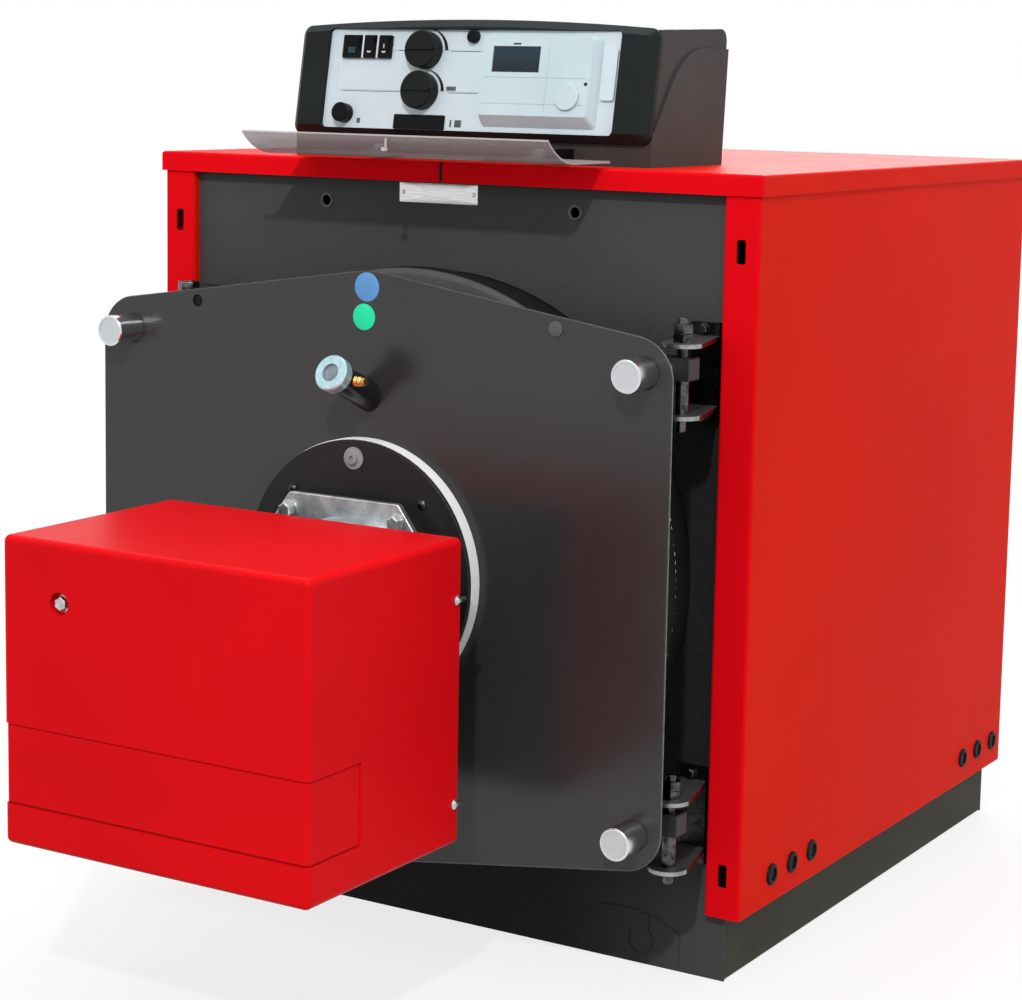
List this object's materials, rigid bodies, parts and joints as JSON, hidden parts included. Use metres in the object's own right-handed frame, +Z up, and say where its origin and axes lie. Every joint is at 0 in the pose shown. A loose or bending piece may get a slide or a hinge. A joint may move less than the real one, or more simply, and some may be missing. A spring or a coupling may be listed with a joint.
{
  "type": "industrial hot water boiler with jet burner",
  "caption": "Floor-standing steel boiler in a red sheet casing, with a hinged round door carrying a hooded jet burner and a sloped control box with a smoked flap on top.",
  "frame": {"origin": "middle of the overall floor area, on the floor", "axes": "+Z up, +Y from the burner to the flue at the rear, +X to the viewer's right facing the door"},
  "size_m": [0.806, 1.425, 1.0511],
  "materials": {
    "red_sheet": "gloss powder coat",
    "rear_sheet": "bare galvanised sheet",
    "dark_sheet": "satin powder coat",
    "black_base": "satin black paint",
    "black_plug": "moulded",
    "drum_steel": "heat resistant paint",
    "fire_steel": "sooted bare steel",
    "pipe_steel": "primed steel",
    "zinc_steel": "dark zinc plate",
    "satin_knob": "turned satin",
    "rope_seal": "braided glass rope",
    "refractory": "cast refractory",
    "white_gasket": "white fibre",
    "cast_aluminium": "as cast",
    "sight_black": "black steel",
    "brass": "turned brass",
    "housing_plastic": "fine grain",
    "fascia_plastic": "pale satin",
    "knob_plastic": "black satin",
    "screen_glass": "dark display",
    "smoked_flap": "smoked clear"
  },
  "bodies": {
    "root": {"side_panels": "red_sheet", "top_panels": "red_sheet", "rear_panel": "rear_sheet", "front_panel": "dark_sheet", "base_rails": "black_base", "base_rear": "black_base", "drum_saddles": "black_base", "side_plugs": "black_plug", "boiler_drum": "drum_steel", "drum_rear_plate": "drum_steel", "door_frame_ring": "drum_steel", "tube_plate": "fire_steel", "furnace_tube": "fire_steel", "smoke_tube_ends": "fire_steel", "flue_outlet": "pipe_steel", "pipe_connections": "pipe_steel", "drain_connection": "pipe_steel", "hinge_brackets": "zinc_steel", "hinge_pins": "zinc_steel", "latch_brackets": "zinc_steel", "flap_hinge": "zinc_steel", "control_housing": "housing_plastic", "control_bezel": "housing_plastic", "control_fascia": "fascia_plastic", "controller_module": "fascia_plastic", "rocker_switches": "knob_plastic", "panel_fittings": "knob_plastic", "controller_screen": "screen_glass"},
    "door": {"latch_bolts": "zinc_steel", "door_disc": "drum_steel", "door_seal": "rope_seal", "door_insulation": "refractory", "cross_bars": "drum_steel", "door_cover": "dark_sheet", "cover_knobs": "satin_knob", "sight_tube": "sight_black", "sight_ring": "satin_knob", "sight_nipple": "brass", "burner_neck": "drum_steel", "burner_gasket": "white_gasket", "burner_plate": "drum_steel", "burner_flange": "cast_aluminium", "blast_tube": "fire_steel", "burner_body": "cast_aluminium", "burner_hood": "red_sheet"},
    "flap": {"control_flap": "smoked_flap"},
    "upper_knob": {"thermostat_knob_upper": "knob_plastic"},
    "lower_knob": {"thermostat_knob_lower": "knob_plastic"},
    "setting_dial": {"controller_dial": "fascia_plastic"}
  },
  "joints": [
    {"name": "door_swing", "type": "hinge", "parent": "root", "child": "door", "pos_m": [0.35, -0.2715, 0.444], "axis": [0, 0, 1], "range_deg": [0, 110]},
    {"name": "flap_swing", "type": "hinge", "parent": "root", "child": "flap", "pos_m": [0.012, -0.1795, 0.902], "axis": [-1, 0, 0], "range_deg": [0, 95]},
    {"name": "upper_knob_turn", "type": "hinge", "parent": "root", "child": "upper_knob", "pos_m": [-0.067, -0.13605, 1.01597], "axis": [0, -0.9848, 0.1736], "range_deg": [-135, 135]},
    {"name": "lower_knob_turn", "type": "hinge", "parent": "root", "child": "lower_knob", "pos_m": [-0.067, -0.1443, 0.96919], "axis": [0, -0.9848, 0.1736], "range_deg": [-135, 135]},
    {"name": "setting_dial_turn", "type": "hinge", "parent": "root", "child": "setting_dial", "pos_m": [0.135, -0.14516, 0.96427], "axis": [0, -0.9848, 0.1736], "continuous": true}
  ]
}
